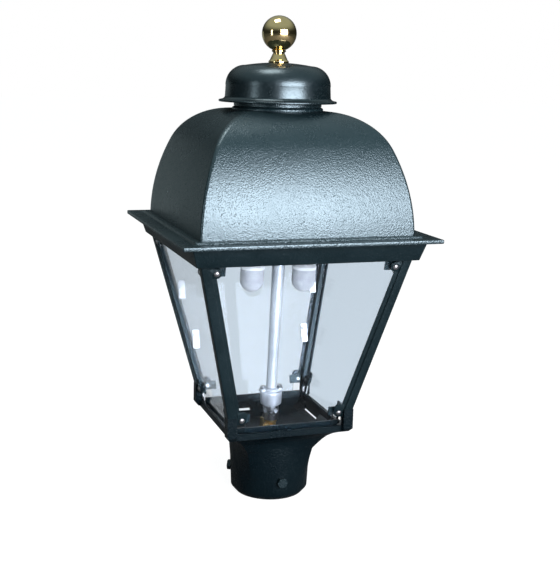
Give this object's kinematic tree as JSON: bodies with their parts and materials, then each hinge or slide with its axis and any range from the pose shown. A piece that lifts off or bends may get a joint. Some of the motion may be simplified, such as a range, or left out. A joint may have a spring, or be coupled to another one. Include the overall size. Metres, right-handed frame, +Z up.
{
  "type": "post top lantern",
  "caption": "Square tapered post top gas lantern with clear panes, domed hinged roof, vent cap, ball finial, inverted mantle burner and a round collar for a post.",
  "frame": {"origin": "centre of the collar's bottom mouth, on the post's axis", "axes": "+Z up along the post, front face with the set screw towards -Y, roof hinge towards +Y"},
  "size_m": [0.2812, 0.2812, 0.5419],
  "materials": {
    "black_casting": "satin",
    "black_frame": "satin",
    "black_cap": "gloss",
    "clear_glass": "polished",
    "polished_brass": "polished",
    "bare_aluminium": "satin",
    "zinc_steel": "satin",
    "plain_brass": "satin",
    "mantle_fabric": "matte",
    "nozzle_ceramic": "matte"
  },
  "bodies": {
    "lantern_base": {"post_collar": "black_frame", "base_casting": "black_frame", "set_screws": "zinc_steel", "corner_post_front_left": "black_frame", "corner_post_front_right": "black_frame", "corner_post_rear_right": "black_frame", "corner_post_rear_left": "black_frame", "post_screws": "zinc_steel", "upper_frame": "black_frame", "glass_pane_front": "clear_glass", "glass_pane_right": "clear_glass", "glass_pane_rear": "clear_glass", "glass_pane_left": "clear_glass", "pane_clips": "black_frame", "clip_screws": "zinc_steel", "side_clips": "zinc_steel", "side_clip_screws": "zinc_steel", "hinge_pins": "zinc_steel", "gas_inlet_fitting": "plain_brass", "gas_valve": "plain_brass", "orifice_nut": "plain_brass", "mixer_cup": "bare_aluminium", "riser_tube": "bare_aluminium", "flange_screws": "zinc_steel", "burner_tee": "bare_aluminium", "nozzle_left": "nozzle_ceramic", "nozzle_right": "nozzle_ceramic", "mantle_left": "mantle_fabric", "mantle_right": "mantle_fabric"},
    "roof": {"roof_casting": "black_casting", "heat_baffle": "bare_aluminium", "baffle_screws": "zinc_steel", "vent_cap": "black_cap", "finial": "polished_brass", "cap_bridge": "zinc_steel", "bridge_screws": "zinc_steel", "rod_nut": "zinc_steel", "cap_rod": "zinc_steel", "cap_spacer": "bare_aluminium"},
    "air_shutter_ring": {"air_shutter": "zinc_steel"},
    "key": {"valve_key": "plain_brass"}
  },
  "joints": [
    {"name": "roof_hinge", "type": "hinge", "parent": "lantern_base", "child": "roof", "pos_m": [0, 0.134, 0.303], "axis": [-1, 0, 0], "range_deg": [0, 105]},
    {"name": "air_shutter_turn", "type": "hinge", "parent": "lantern_base", "child": "air_shutter_ring", "pos_m": [0, 0, 0.093], "axis": [0, 0, 1], "range_deg": [0, 60]},
    {"name": "valve_key_turn", "type": "hinge", "parent": "lantern_base", "child": "key", "pos_m": [0, 0, 0.078], "axis": [-0.891, -0.454, 0], "range_deg": [0, 90]}
  ]
}
